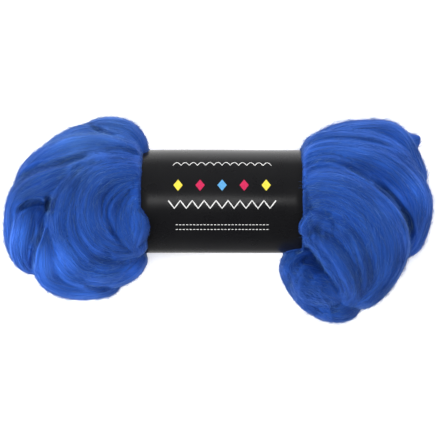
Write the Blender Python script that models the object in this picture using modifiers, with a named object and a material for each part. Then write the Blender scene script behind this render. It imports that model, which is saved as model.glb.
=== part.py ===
"""A hank of carded wool, folded to and fro and held at its waist by an oval card sleeve.

The wool is one solid: a waist that fills the sleeve, and the loops that bulge from its two ends.
Lengths are in millimetres and become metres when a mesh is made. The hank lies along X, +Z is up,
and the origin is at the bottom centre of the whole.
"""
import math
from collections import namedtuple

import bpy
import numpy as np

MM = 0.001

# Moves the laid loops so that the middle of the whole comes over the origin
CENTRING = (0.2, 0.9, 0.0)

# Sleeve: one strip of card wrapped round an oval, its ends lapped and glued underneath
SLEEVE_LEFT = -56.0
SLEEVE_RIGHT = 62.0
SLEEVE_Y = 14.2
SLEEVE_Z = 42.0
SLEEVE_HALF_WIDTH = 39.0
SLEEVE_HALF_HEIGHT = 34.0
CARD = 1.0
LAP_ANGLE = 24.0
LAP_START = -112.0
LAP_RISE_ANGLE = 14.0
GLUE_GAP = 0.3
SLEEVE_STEPS = 84

# Wool: how each loop is laid, how far it flares past the sleeve's ends, and the skin over all loops
LOOP_STEPS = 60
LOOP_SIDES = 28
LOOP_ROUNDNESS = 2.2
END_LENGTH = 0.08
SMALLEST_END = 0.05
FLARE = 0.065
FLARE_SPREAD = 0.02
SKIN_GRID = 2.4
SMOOTHING = 0.5
SMOOTHING_ROUNDS = 5
KEPT_FACES = 0.135
CLEARANCE = 0.3

# Block that levels the wool where it rests
BLOCK_WIDTH = 600.0
BLOCK_DEPTH = 100.0

# A section of a loop: its centre and its half sizes across and up
Row = namedtuple("Row", "x y z half_width half_height")

# Loops that run into the sleeve and are gathered in it
GATHERED_LOOPS = {
    "waist": [
        Row(-88, 12, 42, 28, 24), Row(-58, 14, 42, 40, 35), Row(3, 14, 42, 42, 37),
        Row(64, 14, 42, 40, 35), Row(90, 10, 42, 28, 24)],
    "left_core": [
        Row(-60, 10, 38, 26, 22), Row(-82, 12, 38, 34, 30), Row(-106, 8, 36, 36, 30),
        Row(-126, 2, 34, 26, 24)],
    "left_back": [
        Row(-50, 50, 44, 5, 9), Row(-64, 57, 42, 5, 12), Row(-80, 63, 40, 6, 14), Row(-97, 66, 38, 7, 15),
        Row(-113, 62, 36, 7, 15), Row(-130, 53, 34, 6, 14), Row(-142, 41, 30, 5, 12)],
    "left_upper": [
        Row(-50, 47, 52, 5, 9), Row(-63, 53, 54, 5, 12), Row(-82, 56, 53, 7, 14), Row(-104, 55, 52, 8, 15),
        Row(-124, 49, 48, 9, 16), Row(-140, 39, 44, 9, 16), Row(-148, 27, 38, 7, 15), Row(-152, 12, 32, 6, 14)],
    "left_outer": [
        Row(-50, 46, 54, 5, 8), Row(-66, 43, 57, 6, 10), Row(-85, 42, 59, 8, 13), Row(-105, 36, 60, 11, 16),
        Row(-124, 29, 57, 14, 17), Row(-142, 20, 50, 12, 18), Row(-152, 6, 41, 9, 18),
        Row(-154, -12, 36, 7, 17), Row(-150, -27, 32, 6, 15), Row(-141, -34, 28, 4, 12)],
    "left_fan": [
        Row(-48, 38, 58, 6, 8), Row(-66, 41, 61, 8, 11), Row(-85, 38, 63, 11, 14), Row(-100, 29, 62, 14, 17),
        Row(-110, 13, 60, 14, 18), Row(-112, -5, 58, 14, 18), Row(-107, -21, 56, 13, 17),
        Row(-98, -33, 52, 11, 16), Row(-82, -37, 49, 10, 16), Row(-66, -34, 46, 9, 15),
        Row(-56, -28, 44, 6, 11)],
    "left_fan_fold": [
        Row(-48, 32, 58, 7, 9), Row(-63, 35, 63, 10, 13), Row(-80, 32, 65, 14, 15), Row(-91, 21, 65, 15, 16),
        Row(-94, 5, 65, 15, 16), Row(-89, -10, 63, 14, 16), Row(-77, -19, 59, 11, 14),
        Row(-62, -21, 54, 7, 11), Row(-50, -15, 50, 5, 8)],
    "left_under": [
        Row(-54, 15, 20, 8, 10), Row(-74, 42, 22, 12, 18), Row(-104, 49, 22, 15, 22),
        Row(-130, 34, 22, 16, 24), Row(-141, 8, 21, 15, 23), Row(-132, -21, 20, 15, 22),
        Row(-107, -39, 20, 14, 21), Row(-81, -36, 20, 12, 19), Row(-57, -11, 20, 7, 12)],
    "left_under_fold": [
        Row(-51, 19, 22, 8, 11), Row(-74, 19, 22, 15, 22), Row(-100, 12, 23, 18, 26),
        Row(-107, -7, 23, 16, 26), Row(-88, -18, 22, 15, 22), Row(-58, 0, 22, 9, 13)],
    "right_core": [
        Row(66, 10, 38, 26, 22), Row(90, 7, 38, 36, 30), Row(112, -2, 37, 36, 32), Row(130, -10, 34, 28, 26)],
    "right_top": [
        Row(54, 44, 46, 5, 8), Row(64, 54, 47, 5, 11), Row(75, 62, 45, 6, 13), Row(92, 67, 43, 8, 15),
        Row(110, 68, 41, 8, 15), Row(126, 66, 38, 9, 15), Row(137, 58, 34, 8, 13), Row(143, 48, 30, 5, 10)],
    "right_back": [
        Row(52, 38, 52, 6, 9), Row(64, 46, 54, 8, 13), Row(80, 50, 54, 11, 15), Row(100, 48, 53, 13, 17),
        Row(121, 40, 50, 16, 18), Row(136, 28, 46, 17, 19), Row(145, 14, 42, 16, 19),
        Row(147, -1, 38, 13, 18), Row(141, -14, 34, 10, 15), Row(134, -21, 30, 6, 11)],
    "right_fan": [
        Row(50, 15, 54, 13, 10), Row(63, 19, 60, 17, 13), Row(78, 21, 66, 19, 15), Row(95, 15, 67, 21, 17),
        Row(110, 1, 65, 24, 19), Row(119, -18, 60, 23, 20), Row(121, -37, 53, 16, 20),
        Row(113, -53, 45, 13, 18), Row(100, -63, 38, 8, 14)],
    "right_fan_fold": [
        Row(54, -3, 54, 8, 8), Row(63, -6, 60, 8, 10), Row(71, -10, 62, 9, 12), Row(82, -18, 64, 11, 15),
        Row(92, -31, 61, 13, 17), Row(100, -46, 54, 14, 18), Row(102, -60, 45, 11, 16),
        Row(98, -69, 36, 8, 12)],
    "right_under": [
        Row(56, 15, 20, 8, 10), Row(80, 44, 22, 12, 18), Row(110, 49, 22, 15, 22), Row(133, 30, 22, 16, 24),
        Row(138, 4, 21, 15, 23), Row(128, -24, 20, 15, 22), Row(105, -45, 20, 14, 21),
        Row(82, -45, 25, 14, 22), Row(67, -30, 26, 13, 20), Row(54, -11, 20, 6, 10)],
    "right_under_fold": [
        Row(54, 15, 22, 8, 11), Row(76, 17, 22, 15, 22), Row(100, 12, 23, 18, 26), Row(108, -7, 23, 16, 26),
        Row(92, -22, 22, 15, 22), Row(58, -3, 22, 9, 13)],
}

# Loops that stand clear of the sleeve or lie over its edge
FREE_LOOPS = {
    "left_top": [
        Row(-56, 47, 46, 4, 8), Row(-58, 55, 46, 5, 11), Row(-62, 61, 44, 6, 13), Row(-69, 66, 42, 8, 14),
        Row(-79, 69, 40, 8, 14), Row(-90, 70, 37, 6, 12), Row(-101, 68, 34, 4, 9)],
    "left_side": [
        Row(-129, 17, 40, 6, 12), Row(-138, 8, 46, 10, 16), Row(-144, -7, 48, 11, 17),
        Row(-146, -21, 44, 10, 16), Row(-142, -31, 38, 7, 13), Row(-136, -36, 34, 4, 9)],
    "left_inner": [
        Row(-50, 22, 56, 5, 8), Row(-60, 20, 60, 8, 12), Row(-67, 10, 62, 12, 14), Row(-67, -3, 62, 13, 14),
        Row(-61, -14, 58, 9, 12), Row(-50, -15, 50, 5, 8)],
    "left_lower": [
        Row(-117, 23, 46, 4, 10), Row(-124, 9, 52, 6, 14), Row(-128, -7, 54, 8, 17), Row(-129, -24, 52, 10, 18),
        Row(-123, -39, 47, 10, 18), Row(-110, -50, 42, 9, 17), Row(-94, -53, 38, 8, 15),
        Row(-82, -51, 36, 6, 12), Row(-74, -45, 34, 4, 8)],
    "right_nub": [
        Row(126, 60, 31, 5, 9), Row(138, 61, 33, 6, 9), Row(146, 61, 34, 5, 8), Row(151, 60, 34, 4, 6)],
    "right_bump": [
        Row(56, -5, 58, 8, 8), Row(63, -2, 63, 8, 11), Row(71, 1, 66, 8, 12), Row(81, -1, 67, 8, 12),
        Row(89, -9, 65, 7, 12), Row(95, -19, 60, 5, 10)],
    "right_knob": [
        Row(72, -23, 43, 5, 9), Row(61, -26, 45, 8, 13), Row(54, -35, 44, 9, 17), Row(56, -46, 42, 10, 18),
        Row(65, -55, 38, 10, 18), Row(77, -61, 34, 9, 16), Row(90, -63, 30, 5, 10)],
    "right_knob_fold": [
        Row(60, -31, 42, 5, 10), Row(64, -36, 44, 8, 12), Row(70, -43, 47, 10, 15), Row(80, -51, 46, 10, 16),
        Row(86, -60, 41, 9, 16), Row(90, -69, 32, 7, 12)],
    "right_tuft": [
        Row(70, -61, 28, 5, 9), Row(77, -68, 29, 8, 14), Row(88, -71, 30, 8, 15), Row(98, -67, 30, 8, 13),
        Row(106, -58, 30, 4, 9)],
}


def new_collection(name):
    """Add an empty collection to the scene."""
    collection = bpy.data.collections.new(name)
    bpy.context.scene.collection.children.link(collection)
    return collection


def principled(name, colour, roughness):
    """Make a plain material of one colour."""
    material = bpy.data.materials.new(name)
    material.use_nodes = True
    shader = material.node_tree.nodes["Principled BSDF"]
    shader.inputs["Base Color"].default_value = (*colour, 1.0)
    shader.inputs["Roughness"].default_value = roughness
    shader.inputs["Metallic"].default_value = 0.0
    return material


def add_object(name, vertices, faces, collection):
    """Make an object of points in millimetres and of faces."""
    mesh = bpy.data.meshes.new(name)
    mesh.from_pydata(((np.asarray(vertices) + CENTRING) * MM).tolist(), [], faces)
    made = bpy.data.objects.new(name, mesh)
    collection.objects.link(made)
    return made


def smooth_rows(rows, steps):
    """Read rows off the smooth curve that passes through all of a loop's own rows."""
    rows = np.array(rows, float)
    padded = np.vstack([2 * rows[0] - rows[1], rows, 2 * rows[-1] - rows[-2]])
    place = np.linspace(0, len(rows) - 1, steps)
    span = np.minimum(place.astype(int), len(rows) - 2)
    t = (place - span)[:, None]
    before, start, end, after = (padded[span + k] for k in range(4))
    slope = end - before
    bend = 2 * before - 5 * start + 4 * end - after
    turn = 3 * start - before - 3 * end + after
    return start + 0.5 * (slope * t + bend * t**2 + turn * t**3)


def loop_sections(rows):
    """Give a loop's rings of points: a soft oval at each step, drawn in to a round end at both ends."""
    samples = smooth_rows(rows, LOOP_STEPS)
    centre = samples[:, :3]
    along = np.gradient(centre, axis=0)
    along /= np.linalg.norm(along, axis=1)[:, None]
    across = np.cross([0.0, 0.0, 1.0], along)
    across /= np.linalg.norm(across, axis=1)[:, None]
    upward = np.cross(along, across)
    place = np.linspace(0, 1, LOOP_STEPS)
    from_end = np.clip(np.minimum(place, 1 - place) / END_LENGTH, 0, 1)
    size = np.maximum(np.sqrt(1 - (1 - from_end) ** 2), SMALLEST_END)
    angle = np.linspace(0, 2 * math.pi, LOOP_SIDES, endpoint=False)
    c = np.sign(np.cos(angle)) * np.abs(np.cos(angle)) ** (2 / LOOP_ROUNDNESS)
    s = np.sign(np.sin(angle)) * np.abs(np.sin(angle)) ** (2 / LOOP_ROUNDNESS)
    wide = across[:, None, :] * (samples[:, 3] * size)[:, None, None] * c[None, :, None]
    tall = upward[:, None, :] * (samples[:, 4] * size)[:, None, None] * s[None, :, None]
    return centre[:, None, :] + wide + tall


def gather(points):
    """Draw points in to the card where they pass through the sleeve, and let them flare past its ends."""
    x, y, z = points[..., 0], points[..., 1], points[..., 2]
    past = np.maximum(np.maximum(SLEEVE_LEFT - x, x - SLEEVE_RIGHT), 0)
    half_width = SLEEVE_HALF_WIDTH - CARD / 2
    half_height = SLEEVE_HALF_HEIGHT - CARD / 2
    reach = np.hypot((y - SLEEVE_Y) / half_width, (z - SLEEVE_Z) / half_height)
    limit = 1 + FLARE * np.sqrt(past) + FLARE_SPREAD * past
    drawn_in = limit / np.maximum(reach, limit)
    y = SLEEVE_Y + (y - SLEEVE_Y) * drawn_in
    z = SLEEVE_Z + (z - SLEEVE_Z) * drawn_in
    return np.stack([x, y, z], axis=-1)


def ring_faces(first, rings, sides):
    """Join rings of points, numbered from first, into a closed skin with flat ends."""
    faces = []
    for ring in range(rings - 1):
        for side in range(sides):
            a = first + ring * sides + side
            b = first + ring * sides + (side + 1) % sides
            faces.append((a, a + sides, b + sides, b))
    last = first + (rings - 1) * sides
    faces.append(tuple(first + side for side in range(sides)))
    faces.append(tuple(last + side for side in reversed(range(sides))))
    return faces


def add_cut(target, cutter):
    """Cut one object away from another."""
    cut = target.modifiers.new("cut_by_" + cutter.name, "BOOLEAN")
    cut.operation = "DIFFERENCE"
    cut.solver = "EXACT"
    cut.object = cutter
    cutter.hide_render = True
    cutter.display_type = "WIRE"


def sleeve_room(cutters):
    """Make the oval tube that the wool leaves free for the card, its lap and the clearance round both."""
    inner_grow = -CARD - CLEARANCE
    outer_grow = CARD + GLUE_GAP + CLEARANCE
    angle = np.linspace(0, 2 * math.pi, SLEEVE_STEPS, endpoint=False)
    ends = (SLEEVE_LEFT - CLEARANCE, SLEEVE_RIGHT + CLEARANCE)
    vertices = []
    for grow in (outer_grow, inner_grow):
        for x in ends:
            y = SLEEVE_Y + (SLEEVE_HALF_WIDTH + grow) * np.cos(angle)
            z = SLEEVE_Z + (SLEEVE_HALF_HEIGHT + grow) * np.sin(angle)
            vertices.extend(zip(np.full(SLEEVE_STEPS, x), y, z))
    outer_left, outer_right, inner_left, inner_right = (k * SLEEVE_STEPS for k in range(4))
    loops = (outer_left, outer_right, inner_right, inner_left)
    faces = []
    for start, end in zip(loops, loops[1:] + loops[:1]):
        for side in range(SLEEVE_STEPS):
            following = (side + 1) % SLEEVE_STEPS
            faces.append((start + side, start + following, end + following, end + side))
    return add_object("sleeve_room", vertices, faces, cutters)


def floor_block(cutters):
    """Make the block below the ground, which leaves the wool flat where it rests."""
    bpy.ops.mesh.primitive_cube_add(size=1, location=(0, 0, -BLOCK_DEPTH / 2 * MM))
    block = bpy.context.object
    block.name = "floor_block"
    block.scale = (BLOCK_WIDTH * MM, BLOCK_WIDTH * MM, BLOCK_DEPTH * MM)
    for owner in block.users_collection:
        owner.objects.unlink(block)
    cutters.objects.link(block)
    return block


def make_wool(parts, cutters):
    """Lay all the loops, melt them into one skin, thin its faces and make room for sleeve and ground."""
    vertices = []
    faces = []
    rings = [gather(loop_sections(rows)) for rows in GATHERED_LOOPS.values()]
    rings += [loop_sections(rows) for rows in FREE_LOOPS.values()]
    for points in rings:
        faces.extend(ring_faces(len(vertices), LOOP_STEPS, LOOP_SIDES))
        vertices.extend(points.reshape(-1, 3))
    wool = add_object("wool_hank", vertices, faces, parts)
    skin = wool.modifiers.new("one_skin", "REMESH")
    skin.mode = "VOXEL"
    skin.voxel_size = SKIN_GRID * MM
    skin.use_smooth_shade = True
    soften = wool.modifiers.new("soften", "SMOOTH")
    soften.factor = SMOOTHING
    soften.iterations = SMOOTHING_ROUNDS
    thin = wool.modifiers.new("thin_faces", "DECIMATE")
    thin.ratio = KEPT_FACES
    thin.use_collapse_triangulate = True
    add_cut(wool, sleeve_room(cutters))
    add_cut(wool, floor_block(cutters))
    wool.data.materials.append(principled("wool", (0.038, 0.114, 0.485), 0.85))
    return wool


def make_sleeve(parts):
    """Wrap the card once round the oval and on over its own start, as an open sheet with thickness."""
    turn = np.linspace(0, 360 + LAP_ANGLE, SLEEVE_STEPS + 1)
    rise = np.clip((turn - 360 + LAP_RISE_ANGLE) / LAP_RISE_ANGLE, 0, 1)
    lift = (CARD + GLUE_GAP) * rise
    angle = np.radians(LAP_START + turn)
    y = SLEEVE_Y + (SLEEVE_HALF_WIDTH + lift) * np.cos(angle)
    z = SLEEVE_Z + (SLEEVE_HALF_HEIGHT + lift) * np.sin(angle)
    vertices = []
    for x in (SLEEVE_LEFT, SLEEVE_RIGHT):
        vertices.extend(zip(np.full(len(turn), x), y, z))
    count = len(turn)
    faces = [(k, k + 1, k + 1 + count, k + count) for k in range(count - 1)]
    sleeve = add_object("card_sleeve", vertices, faces, parts)
    thickness = sleeve.modifiers.new("card", "SOLIDIFY")
    thickness.thickness = CARD * MM
    thickness.offset = -1
    thickness.use_even_offset = True
    sleeve.data.shade_smooth()
    sleeve.data.materials.append(principled("card", (0.018, 0.018, 0.019), 0.45))
    return sleeve


def main():
    """Clear the scene and build the hank."""
    for stray in list(bpy.data.objects):
        bpy.data.objects.remove(stray)
    parts = new_collection("carded_wool")
    cutters = new_collection("cutters")
    make_wool(parts, cutters)
    make_sleeve(parts)


main()
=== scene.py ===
"""Looks of a hank of carded wool held by a black card sleeve, lying on a pale floor and seen from above.

The loops are laid from the same rows as the solid. Each end of the hank becomes one fine skin over its
loops, with long soft ridges along the fibre flow. Locks, fibres and strays of the same flow lie on it.
Lengths are in millimetres and become metres when a mesh is made.
"""

import math
from collections import namedtuple

import bpy
import numpy as np
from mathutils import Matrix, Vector
from mathutils.bvhtree import BVHTree
from mathutils.kdtree import KDTree


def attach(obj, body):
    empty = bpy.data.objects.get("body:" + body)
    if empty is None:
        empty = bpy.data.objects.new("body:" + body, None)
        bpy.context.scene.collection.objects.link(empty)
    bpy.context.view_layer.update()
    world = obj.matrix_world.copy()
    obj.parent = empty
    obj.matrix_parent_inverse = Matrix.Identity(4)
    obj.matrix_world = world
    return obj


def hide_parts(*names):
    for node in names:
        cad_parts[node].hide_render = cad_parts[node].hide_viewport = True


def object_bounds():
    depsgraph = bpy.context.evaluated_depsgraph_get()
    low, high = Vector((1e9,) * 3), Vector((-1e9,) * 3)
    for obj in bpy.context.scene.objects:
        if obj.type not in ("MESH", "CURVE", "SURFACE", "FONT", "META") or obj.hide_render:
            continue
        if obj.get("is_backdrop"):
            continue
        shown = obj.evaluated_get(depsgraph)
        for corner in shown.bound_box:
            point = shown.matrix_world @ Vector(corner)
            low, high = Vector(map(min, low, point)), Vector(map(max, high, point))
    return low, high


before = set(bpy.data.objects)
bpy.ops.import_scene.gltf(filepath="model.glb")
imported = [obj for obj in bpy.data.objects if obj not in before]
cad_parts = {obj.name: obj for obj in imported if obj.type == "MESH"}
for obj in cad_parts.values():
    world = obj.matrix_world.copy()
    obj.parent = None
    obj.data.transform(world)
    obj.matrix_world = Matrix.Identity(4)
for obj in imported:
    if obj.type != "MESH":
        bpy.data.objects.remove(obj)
cad_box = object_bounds()

MM = 0.001

# Moves the laid loops so that the middle of the whole comes over the origin
CENTRING = np.array((0.2, 0.9, 0.0))

# Sleeve: one strip of card wrapped round an oval, its ends lapped and glued underneath
SLEEVE_LEFT = -56.0
SLEEVE_RIGHT = 62.0
SLEEVE_Y = 14.2
SLEEVE_Z = 42.0
SLEEVE_HALF_WIDTH = 39.0
SLEEVE_HALF_HEIGHT = 34.0
CARD = 1.0
LAP_ANGLE = 24.0
LAP_START = -112.0
LAP_RISE_ANGLE = 14.0
GLUE_GAP = 0.3
CARD_STEPS_ROUND = 144
CARD_STEPS_ALONG = 20
CARD_BEND = 0.25
CARD_BEND_LENGTH = 34.0
CARD_BEND_SEED = 21
CARD_EDGE = 0.15
CARD_EDGE_ANGLE = 50.0
WOOL_TO_CARD = 0.3
RIM_MARGIN = 0.9

# Loops: steps along and sides round each, their round ends, and how they flare where they leave the card
LOOP_STEPS = 150
LOOP_SIDES = 64
LOOP_ROUNDNESS = 2.2
END_LENGTH = 0.08
SMALLEST_END = 0.05
FLARE = 0.065
FLARE_SPREAD = 0.02

# Skin over the loops: its grid, its smoothing, and how far out from the card wool counts as lying over it
SKIN_GRID = 1.0
SMOOTHING = 0.5
SMOOTHING_ROUNDS = 12
OVER_CARD = 0.2

# Flow map: its unit, what sets each loop's lengths apart from the next, and the jump that parts two loops
FLOW_UNIT = 100.0
LOOPS_APART = (317.0, 231.0)
FLOW_JUMP = 20.0

# A ridge pattern along the flow: its height, its spacing round a loop and its length along it
Ridges = namedtuple("Ridges", "height spacing length seed")
RIDGES = [Ridges(0.55, 13.0, 110.0, 3), Ridges(0.3, 5.5, 70.0, 5), Ridges(0.16, 2.4, 50.0, 7)]

# A crease pressed into the upper side: its width, its depth and its path as seen from above
Crease = namedtuple("Crease", "name width depth path")
CREASES = [Crease(*row) for row in (
    ("top_lobe", 1.6, 2.2, [(-96, 71), (-89, 67.5), (-82, 64.5), (-74, 62)]),
    ("under_back", 2.6, 3.4, [(-90, 49), (-100, 46), (-109, 43.5), (-125, 40), (-140, 34), (-152, 24)]),
    ("back_ridge", 3.6, -1.8, [(-124, 54), (-112, 58.5), (-100, 61), (-89, 61), (-78, 59), (-66, 54)]),
    ("fan_ridge", 3.0, -1.5, [(-111, 29), (-106, 38), (-100, 43.5), (-93, 46.5), (-84, 46.5), (-72, 44)]),
    ("over_side", 1.8, 2.2, [(-147, 7), (-143, 10), (-137.5, 13), (-131, 14), (-125.5, 14)]),
    ("left_hollow", 2.2, 4.4, [(-123, 17), (-124, 12), (-124.2, 6)]),
    ("round_inner", 1.3, 1.3, [(-64, 26), (-73, 19), (-79, 11), (-80, 2), (-77, -8), (-71, -17)]),
    ("under_fan", 5.0, 1.3, [(-76, -25), (-85, -29), (-96, -30)]),
    ("beside_side", 1.8, 3.8, [(-127, 2), (-130, -10), (-134, -21), (-137, -34)]),
    ("over_lower", 1.8, 1.4, [(-100, -47), (-90, -50), (-81, -51)]),
    ("over_fan", 1.8, 1.6, [(88, 42.5), (97, 38.5), (105, 33), (112, 28)]),
    ("fan_top", 1.3, 0.9, [(62.5, 37), (66.5, 41.5), (74.5, 43.6), (83.5, 43.3), (94, 40)]),
    ("fan_line", 1.2, -0.8, [
        (63, 34), (68, 38.7), (75, 40.6), (83, 40.3), (92.5, 37.3), (109.5, 26.5), (129, 9)]),
    ("beside_fan", 2.8, 6.0, [
        (112, 29.5), (121, 21.5), (130, 13), (138, 2.5), (141.5, -7), (143.5, -19)]),
    ("fan_fold", 1.6, 0.4, [(91, -3), (98, -20), (103, -36), (105, -60)]),
    ("fan_edge", 2.0, 1.4, [(66, -12), (75, -22), (84, -34), (90, -46), (95, -58)]),
    ("knob_hollow", 3.0, 1.6, [(62, -28), (68, -30), (75, -32)]),
    ("knob_fold", 2.0, 0.9, [(77, -31), (84, -42), (90, -54)]),
    ("right_top", 1.6, 1.1, [(62.5, 54.5), (73.5, 59), (87, 60.8), (103, 59.6), (122, 56.5), (138, 52)]),
    ("right_line", 1.4, -0.6, [(63, 52), (74, 56.2), (87, 57.8), (103, 56.6), (122, 53), (136, 47)]),
)]

# A crease's steps, the part that fades at each end, how full its very end is, and its reach in widths; its
# raised shoulders and their place in widths; and how soon a slope counts as upper side
CREASE_STEPS = 60
CREASE_FADE = 0.2
CREASE_AT_END = 0.1
CREASE_REACH = 3.0
SHOULDER = 0.35
SHOULDER_AT = 1.7
FACING = 1.6

# Areas of matted wool: lumps instead of combed ridges, and fibres that run astray
Matted = namedtuple("Matted", "name x y radius")
MATTED = [Matted("knob", 64, -42, 17), Matted("bump", 74, -5, 12), Matted("tuft", 84, -62, 13)]
Lumps = namedtuple("Lumps", "height size seed")
LUMPS = [Lumps(1.9, 8.5, 31), Lumps(0.7, 3.6, 33)]
MATTED_RIDGES = 0.4
MATTED_SWAY = 7.0
MATTED_SWAY_SIZE = 9.0
MATTED_SWAY_SEED = 35
MATTED_DRIFT = 6.0

# Painted shade: how much deeper the colour is in a crease for each millimetre of its depth, and painted
# light along raised lines. This starts at the height UPPER_SIDE and is full UPPER_FADE above it.
CREASE_PAINTED_SHADE = 0.11
UPPER_SIDE = 28.0
UPPER_FADE = 12.0

# Painted shade where the wool leaves the card: how light it is kept there, how far along and how far out
# that reaches, and how near to the card strays are shorter, and by what factor
EDGE_PAINTED_SHADE = 0.6
EDGE_REACH = 2.2
EDGE_HEIGHT = 1.5
EDGE_STRAYS = 5.0
EDGE_STRAYS_LENGTH = 0.4

# Threads on the skin: how many at each end, their size and steps along, how far they lift off the skin, and
# how far round their loop they drift. They look for the skin within THREAD_SEARCH, and each one's length,
# width, height and shade lie between a pair of factors.
Threads = namedtuple("Threads", "name count length half_width height steps lift drift seed")
THREADS = [
    Threads("locks", 1200, 44.0, 0.26, 0.08, 13, 0.0, 1.8, 11),
    Threads("fibres", 2500, 26.0, 0.12, 0.12, 10, 0.05, 1.4, 13),
]
STRAYS = Threads("strays", 5600, 4.5, 0.09, 0.10, 4, 0.2, 1.0, 17)
THREAD_SEARCH = 3.0
THREAD_LENGTHS = (0.55, 1.3)
THREAD_WIDTHS = (0.6, 1.35)
THREAD_HEIGHTS = (0.7, 1.2)
SHADES = (0.1, 0.75)

# How many more strays start on steep sides and on matted wool, how pale they are, and how they stand off
STRAYS_ON_SIDES = 5.0
STRAYS_ON_MATTED = 1.5
STRAYS_PALE = 0.45
STRAY_LENGTHS = (0.4, 1.6)
STRAY_RISES = (0.1, 0.5)
STRAY_TURN = 0.5

# Loops that run into the sleeve and are gathered in it, by name. Each is a table of sections with five
# columns: x, y and z of the section's centre, its half width across and its half height up.
LEFT_GATHERED = {
    "waist": [(-88, 12, 42, 28, 24), (-58, 14, 42, 40, 35), (-38, 14, 42, 40, 35)],
    "core": [(-60, 10, 38, 26, 22), (-82, 12, 38, 34, 30), (-106, 8, 36, 36, 30),
        (-126, 2, 34, 26, 24)],
    "back": [(-50, 50, 44, 5, 9), (-64, 57, 42, 5, 12), (-80, 63, 40, 6, 14), (-97, 66, 38, 7, 15),
        (-113, 61, 36, 7, 15), (-129, 51, 34, 6, 14), (-140, 39, 30, 5, 12)],
    "upper": [(-50, 47, 52, 5, 9), (-63, 53, 54, 5, 12), (-82, 56, 53, 7, 14), (-104, 55, 52, 8, 15),
        (-124, 48, 48, 9, 16), (-138, 37, 44, 9, 16), (-146, 25, 38, 7, 15), (-150, 11, 32, 6, 14)],
    "outer": [(-50, 46, 54, 5, 8), (-66, 43, 57, 6, 10), (-85, 42, 59, 8, 13), (-105, 36, 60, 11, 16),
        (-124, 29, 57, 14, 17), (-141.5, 20, 50, 12, 18), (-151, 6, 41, 8.5, 18),
        (-154, -12, 36, 7, 17), (-150, -27, 32, 6, 15), (-141, -34, 28, 4, 12)],
    "top_fill": [(-58, 56, 46, 4, 9), (-67, 60.5, 48, 6, 11), (-78, 63, 47, 6, 11.5),
        (-89, 63, 45, 5, 11)],
    "upper_fill": [(-54, 45, 54, 5, 8), (-70, 49, 57, 7, 11), (-86, 49, 58, 8, 12),
        (-104, 46.5, 57, 7, 12), (-122, 41, 54, 7, 13), (-138, 31, 48, 6, 12)],
    "fan": [(-48, 38, 58, 6, 8), (-66, 41, 61, 8, 11), (-85, 38, 63, 11, 14), (-100, 29, 62, 14, 17),
        (-110, 13, 60, 14, 18), (-112, -5, 58, 14, 18), (-107, -21, 56, 13, 17),
        (-98, -33, 52, 11, 16), (-82, -37, 49, 10, 16), (-66, -34, 46, 9, 15), (-56, -28, 44, 6, 11)],
    "fan_fold": [(-48, 32, 58, 7, 9), (-63, 35, 63, 10, 13), (-80, 32, 65, 14, 15),
        (-91, 21, 65, 15, 16), (-94, 5, 65, 15, 16), (-89, -10, 63, 14, 16), (-77, -19, 59, 11, 14),
        (-62, -21, 54, 7, 11), (-50, -15, 50, 5, 8)],
    "fan_between": [(-48, 35, 58, 6, 8), (-66, 38, 62, 9, 12), (-82, 36, 64, 12, 15),
        (-97, 26, 64, 13, 15.5), (-103, 10, 63, 13, 16), (-103, -7, 61.5, 13, 16),
        (-96, -20, 59, 12, 15.5), (-84, -29, 55, 10, 15), (-68, -28, 50, 8, 13)],
    "inner_fill": [(-56, 30, 61, 6, 10), (-68, 25, 63, 8, 13), (-78, 15, 64, 8, 14),
        (-80, 4, 63, 8, 14), (-76, -8, 60, 8, 12.5)],
    "under": [(-54, 15, 20, 8, 10), (-74, 42, 22, 12, 18), (-104, 49, 22, 15, 22),
        (-130, 34, 22, 16, 24), (-141, 8, 21, 15, 23), (-132, -21, 20, 15, 22),
        (-107, -39, 20, 14, 21), (-81, -36, 20, 12, 19), (-57, -11, 20, 7, 12)],
    "under_fold": [(-51, 19, 22, 8, 11), (-74, 19, 22, 15, 22), (-100, 12, 23, 18, 26),
        (-107, -7, 23, 16, 26), (-88, -18, 22, 15, 22), (-58, 0, 22, 9, 13)],
}
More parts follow.
